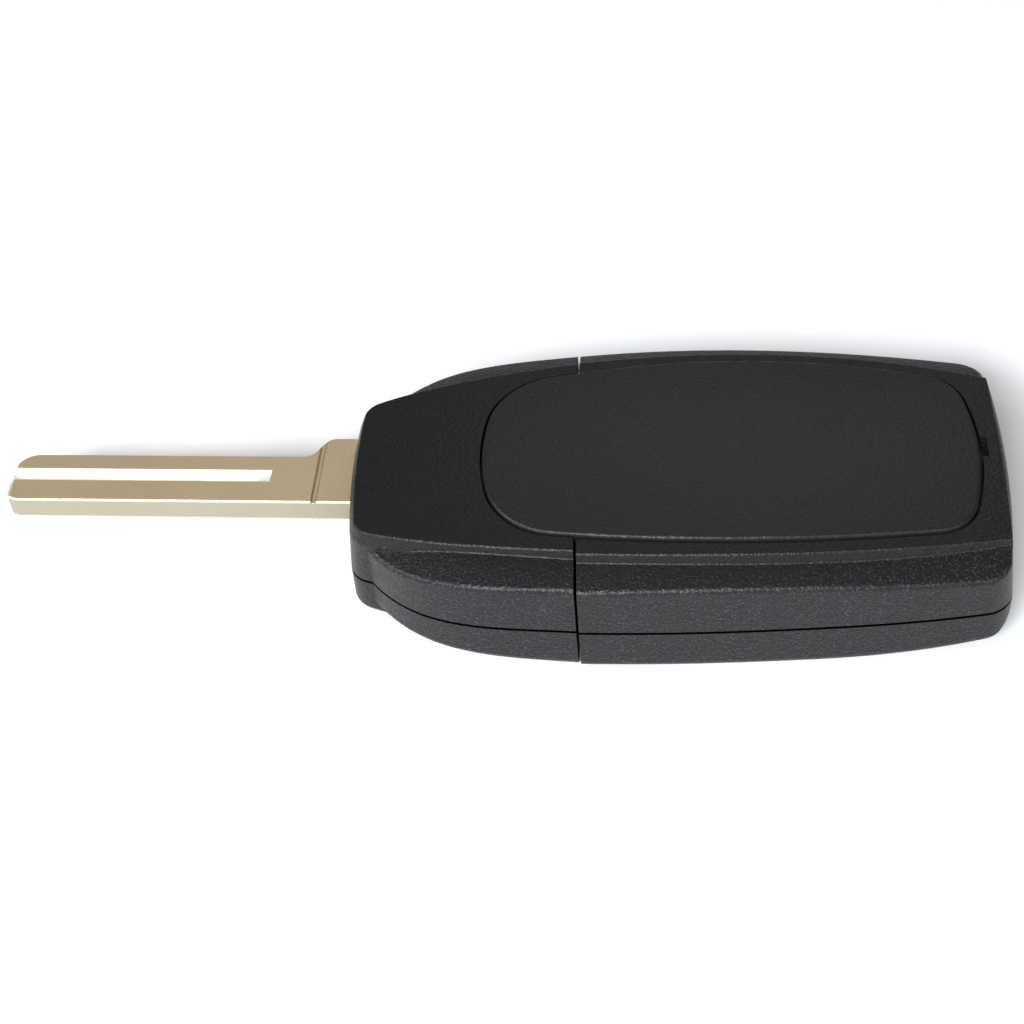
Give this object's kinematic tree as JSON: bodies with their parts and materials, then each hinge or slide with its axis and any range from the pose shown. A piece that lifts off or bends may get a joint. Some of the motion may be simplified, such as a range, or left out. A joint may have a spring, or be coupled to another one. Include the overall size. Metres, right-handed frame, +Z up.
{
  "type": "folding key fob",
  "caption": "Folding car key fob shell: two-section case with a clip-on battery cover, remote keys underneath and an uncut blade that swings out of the nose.",
  "frame": {"origin": "on the resting plane under the flat underside, on the middle line, where the seam between head and tail crosses it", "axes": "+X from the blade's end to the tail along the case, +Y to the side that the blade folds into, +Z up through the battery cover"},
  "size_m": [0.118, 0.0396, 0.0168],
  "materials": {
    "case_plastic": "fine grained near-black moulding",
    "nickel_silver": "satin nickel-silver",
    "zinc": "black die casting",
    "spring_steel": "bright wire",
    "button_plastic": "fine grained",
    "key_plastic": "fine grained",
    "silicone": "matt",
    "board": "green solder mask",
    "switch_body": "stamped lid",
    "cell_can": "plain bright steel",
    "contact_metal": "plated strip",
    "glass_capsule": "smooth moulded capsule",
    "chip_plastic": "moulded package",
    "screw_steel": "dark zinc"
  },
  "bodies": {
    "case": {"head_upper": "case_plastic", "head_lower": "case_plastic", "tail_upper": "case_plastic", "tail_lower": "case_plastic", "circuit_board": "board", "switch_lock": "switch_body", "switch_unlock": "switch_body", "switch_boot": "switch_body", "switch_lights": "switch_body", "switch_panic": "switch_body", "coin_cell": "cell_can", "contact_positive": "contact_metal", "contact_negative": "contact_metal", "transponder": "glass_capsule", "controller_chip": "chip_plastic", "crystal": "cell_can", "key_mat": "silicone", "case_screws": "screw_steel"},
    "blade": {"blade": "nickel_silver", "blade_hub": "zinc", "hub_pin": "spring_steel"},
    "release": {"release_button": "button_plastic", "release_spring": "spring_steel"},
    "cover": {"battery_cover": "case_plastic"},
    "key_lock": {"key_lock": "key_plastic"},
    "key_unlock": {"key_unlock": "key_plastic"},
    "key_boot": {"key_boot": "key_plastic"},
    "key_lights": {"key_lights": "key_plastic"},
    "key_panic": {"key_panic": "key_plastic"}
  },
  "joints": [
    {"name": "blade_fold", "type": "hinge", "parent": "case", "child": "blade", "pos_m": [-0.0155, 0.008, 0], "axis": [0, 0, 1], "range_deg": [-177.4, 0]},
    {"name": "release_press", "type": "slide", "parent": "blade", "child": "release", "axis": [0, 0, -1], "range_m": [0, 0.0012], "stiffness_N_per_m": 400, "springref_m": 0.0012, "deforming": ["release_spring"]},
    {"name": "cover_lift", "type": "slide", "parent": "case", "child": "cover", "axis": [0, 0, 1], "range_m": [0, 0.012]},
    {"name": "press_lock", "type": "slide", "parent": "case", "child": "key_lock", "axis": [0, 0, 1], "range_m": [0, 0.0005], "stiffness_N_per_m": 600, "deforming": ["key_mat"]},
    {"name": "press_unlock", "type": "slide", "parent": "case", "child": "key_unlock", "axis": [0, 0, 1], "range_m": [0, 0.0005], "stiffness_N_per_m": 600},
    {"name": "press_boot", "type": "slide", "parent": "case", "child": "key_boot", "axis": [0, 0, 1], "range_m": [0, 0.0005], "stiffness_N_per_m": 600},
    {"name": "press_lights", "type": "slide", "parent": "case", "child": "key_lights", "axis": [0, 0, 1], "range_m": [0, 0.0005], "stiffness_N_per_m": 600},
    {"name": "press_panic", "type": "slide", "parent": "case", "child": "key_panic", "axis": [0, 0, 1], "range_m": [0, 0.0005], "stiffness_N_per_m": 600}
  ]
}
